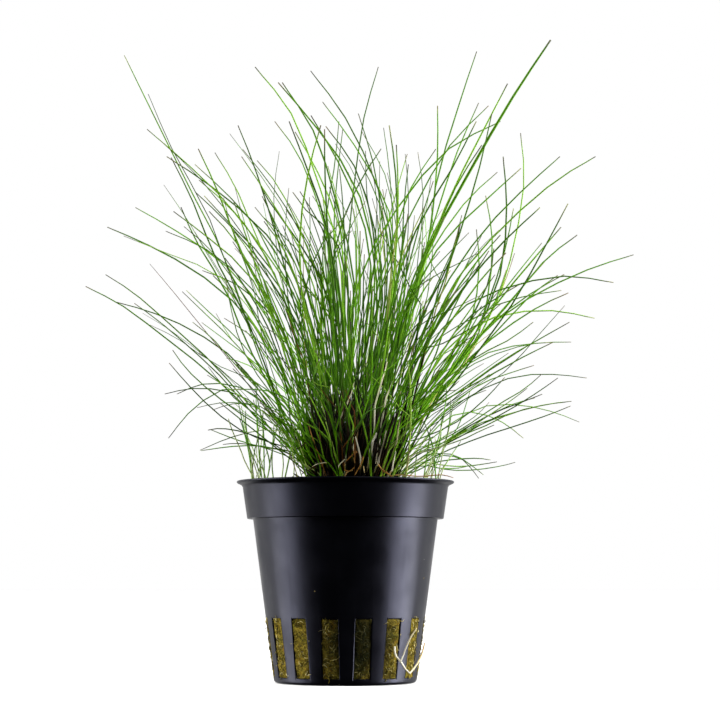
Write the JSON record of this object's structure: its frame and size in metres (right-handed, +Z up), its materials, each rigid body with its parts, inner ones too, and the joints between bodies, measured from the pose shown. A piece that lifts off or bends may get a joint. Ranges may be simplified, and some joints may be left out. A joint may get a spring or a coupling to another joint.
{
  "type": "potted dwarf hairgrass",
  "caption": "Dwarf hairgrass, a tuft of thin round green stems, in a black slotted net pot filled with rockwool.",
  "frame": {"origin": "centre of the pot's flat underside", "axes": "+Z up the pot's axis, -Y the front that the picture shows, +X to the right seen from the front"},
  "size_m": [0.1389, 0.12, 0.1632],
  "materials": {
    "pot": "smooth black injection-moulded polypropylene, satin",
    "rockwool": "damp fibrous mineral wool, olive brown",
    "root_mat": "dark brown fibrous roots and old sheaths, matte",
    "straw_root": "pale straw root, slightly glossy",
    "culm": "smooth round green stem, satin",
    "pale_culm": "smooth round pale green stem, satin"
  },
  "bodies": {
    "root": {"pot": "pot", "rockwool_plug": "rockwool", "root_crown": "root_mat", "escaped_root": "straw_root", "shoot_01": "culm", "shoot_02": "culm", "shoot_03": "culm", "shoot_04": "culm", "shoot_05": "culm", "shoot_06": "culm", "shoot_07": "culm", "shoot_08": "culm", "shoot_09": "culm", "shoot_10": "culm", "shoot_11": "culm", "shoot_12": "culm", "shoot_13": "culm", "shoot_14": "culm", "shoot_15": "culm", "shoot_16": "culm", "shoot_17": "culm", "shoot_18": "culm", "shoot_19": "culm", "shoot_20": "culm", "shoot_21": "culm", "shoot_22": "culm", "shoot_23": "culm", "shoot_24": "culm", "shoot_25": "culm", "shoot_26": "culm", "shoot_27": "culm", "shoot_28": "culm", "shoot_29": "culm", "shoot_30": "culm", "shoot_31": "culm", "shoot_32": "culm", "shoot_33": "culm", "shoot_34": "culm", "shoot_35": "culm", "shoot_36": "culm", "shoot_37": "culm", "shoot_38": "culm", "shoot_39": "culm", "shoot_40": "culm", "shoot_41": "culm", "shoot_42": "culm", "shoot_43": "culm", "shoot_44": "culm", "shoot_45": "culm", "shoot_46": "culm", "shoot_47": "culm", "shoot_48": "culm", "shoot_49": "culm", "shoot_50": "culm", "shoot_51": "culm", "plantlet_01": "pale_culm", "plantlet_02": "pale_culm", "plantlet_03": "pale_culm", "plantlet_04": "pale_culm"}
  },
  "joints": []
}
